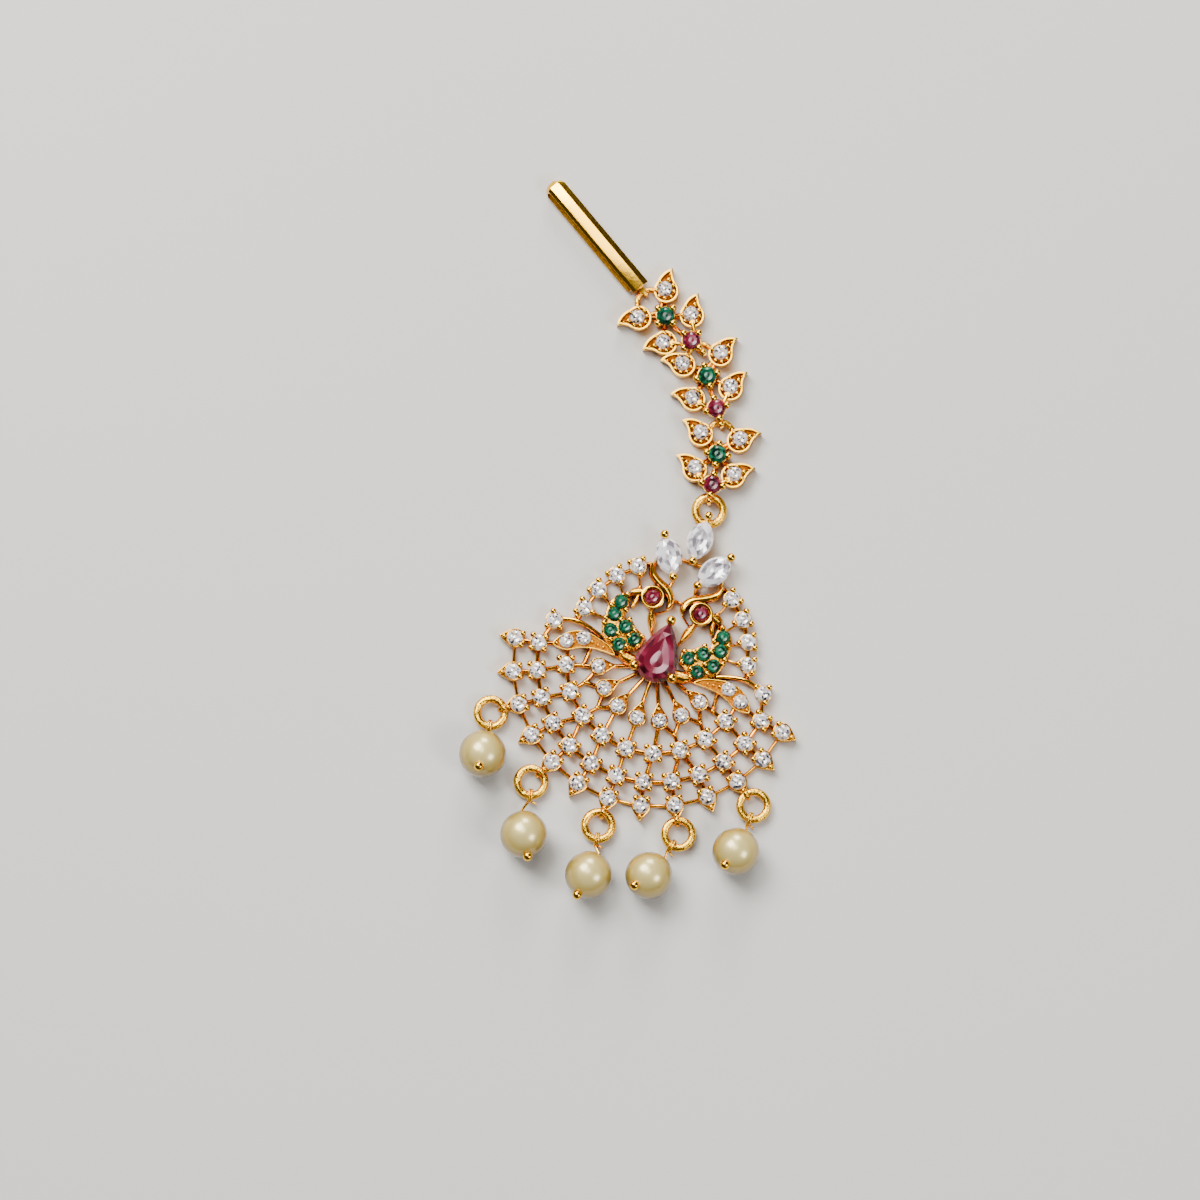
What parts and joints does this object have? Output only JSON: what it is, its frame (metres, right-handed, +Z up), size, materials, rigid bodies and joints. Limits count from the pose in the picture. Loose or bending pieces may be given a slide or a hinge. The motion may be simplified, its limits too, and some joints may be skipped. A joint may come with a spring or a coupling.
{
  "type": "maang tikka",
  "caption": "Forehead jewel with a flat hair hook, leaf-shaped stone links, a pierced fan pendant with a bird pair, and pearl drops, lying face up.",
  "frame": {"origin": "middle of the footprint, on the surface that the jewel lies on", "axes": "+Z up out of the surface and out of the front of the jewel, +Y along its length from the drops to the hook, +X to the right seen from above"},
  "size_m": [0.0394, 0.087, 0.0059],
  "materials": {
    "gold_metal": "polished, gold-plated",
    "white_stone": "faceted, polished",
    "red_stone": "faceted, polished",
    "green_stone": "faceted, polished",
    "pearl": "pearlescent"
  },
  "bodies": {
    "root": {"fan_frame": "gold_metal", "pear_ruby": "red_stone", "marquise_left": "white_stone", "marquise_top": "white_stone", "marquise_right": "white_stone", "eye_ruby_left": "red_stone", "wing_green_left_1": "green_stone", "wing_green_left_2": "green_stone", "wing_green_left_3": "green_stone", "wing_green_left_4": "green_stone", "wing_green_left_5": "green_stone", "wing_green_left_6": "green_stone", "eye_ruby_right": "red_stone", "wing_green_right_1": "green_stone", "wing_green_right_2": "green_stone", "wing_green_right_3": "green_stone", "wing_green_right_4": "green_stone", "wing_green_right_5": "green_stone", "wing_green_right_6": "green_stone", "drop_ring_1": "gold_metal", "pearl_1": "pearl", "head_pin_1": "gold_metal", "drop_ring_2": "gold_metal", "pearl_2": "pearl", "head_pin_2": "gold_metal", "drop_ring_3": "gold_metal", "pearl_3": "pearl", "head_pin_3": "gold_metal", "drop_ring_4": "gold_metal", "pearl_4": "pearl", "head_pin_4": "gold_metal", "drop_ring_5": "gold_metal", "pearl_5": "pearl", "head_pin_5": "gold_metal", "main_ring": "gold_metal", "link_lower": "gold_metal", "link_lower_green": "green_stone", "link_lower_ruby": "red_stone", "link_middle": "gold_metal", "link_middle_green": "green_stone", "link_middle_ruby": "red_stone", "link_upper": "gold_metal", "link_upper_green": "green_stone", "link_upper_ruby": "red_stone", "hook": "gold_metal"}
  },
  "joints": []
}
